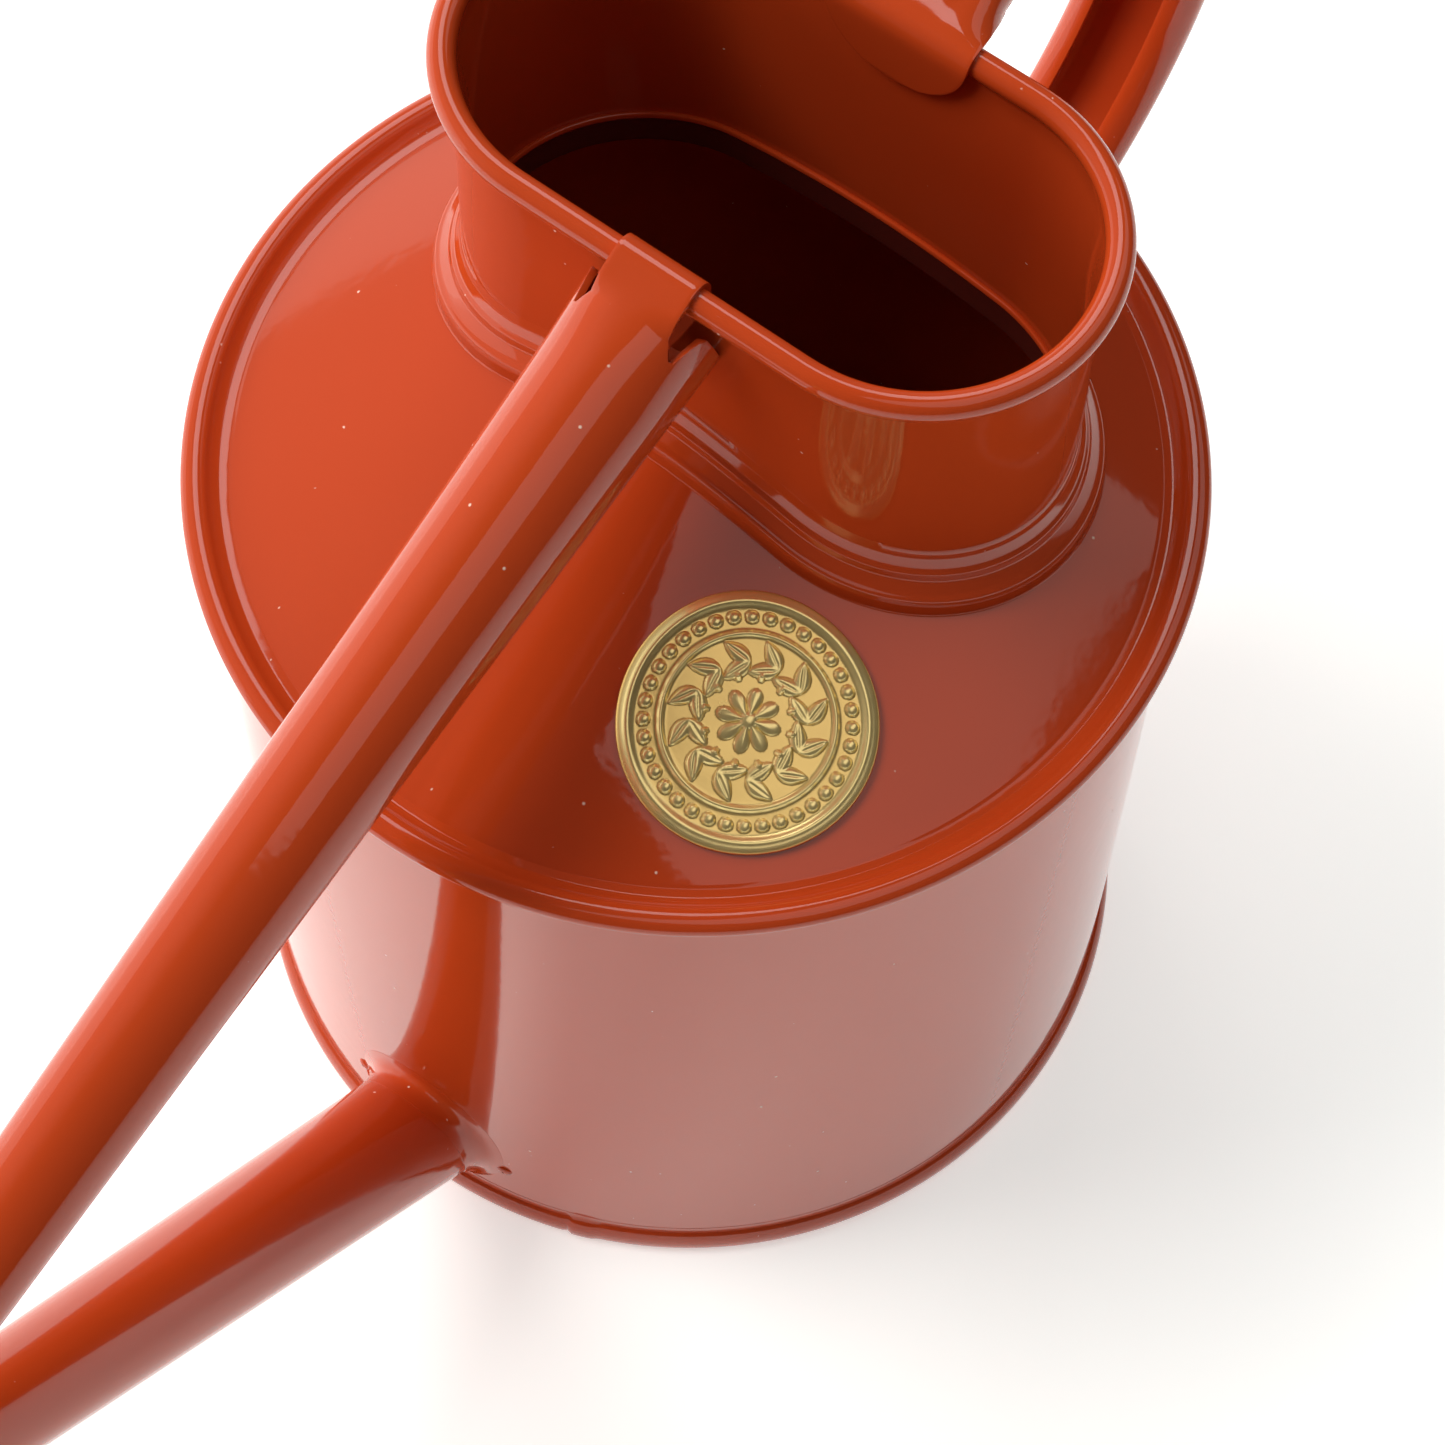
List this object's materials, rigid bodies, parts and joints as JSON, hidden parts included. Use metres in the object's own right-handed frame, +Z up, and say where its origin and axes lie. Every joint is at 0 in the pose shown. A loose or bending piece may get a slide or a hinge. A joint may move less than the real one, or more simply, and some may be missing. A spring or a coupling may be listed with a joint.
{
  "type": "watering can",
  "caption": "Round enamelled metal watering can with an oblong filler collar, long braced spout, looped handle and a removable brass rose.",
  "frame": {"origin": "centre of the base, on the surface that the can stands on", "axes": "+X along the spout, +Y to the can's left, +Z up"},
  "size_m": [0.3612, 0.116, 0.2066],
  "materials": {
    "enamel": "gloss stove enamel, burnt orange",
    "brass": "satin lacquered brass",
    "rubber": "matt black",
    "bare_steel": "bare steel",
    "adhesive": "matt"
  },
  "bodies": {
    "can": {"drum": "enamel", "base_plate": "enamel", "top_plate": "enamel", "collar_flange": "enamel", "collar_wall": "enamel", "collar_rim": "enamel", "collar_wire": "bare_steel", "spout": "enamel", "spout_flange": "enamel", "strainer": "bare_steel", "spout_ferrule": "brass", "brace": "enamel", "handle": "enamel", "badge_pad": "adhesive", "badge": "brass"},
    "rose_bush": {"rose_bush": "rubber"},
    "rose": {"rose_socket": "brass", "rose_neck_ring": "brass", "rose_body": "brass", "rose_rim": "brass", "rose_face": "brass"}
  },
  "joints": [
    {"name": "rose_pull", "type": "slide", "parent": "can", "child": "rose_bush", "axis": [0.7478, 0, 0.6639], "range_m": [0, 0.015]},
    {"name": "rose_turn", "type": "hinge", "parent": "rose_bush", "child": "rose", "pos_m": [0.23507, 0, 0.17674], "axis": [0.7478, 0, 0.6639], "continuous": true}
  ]
}
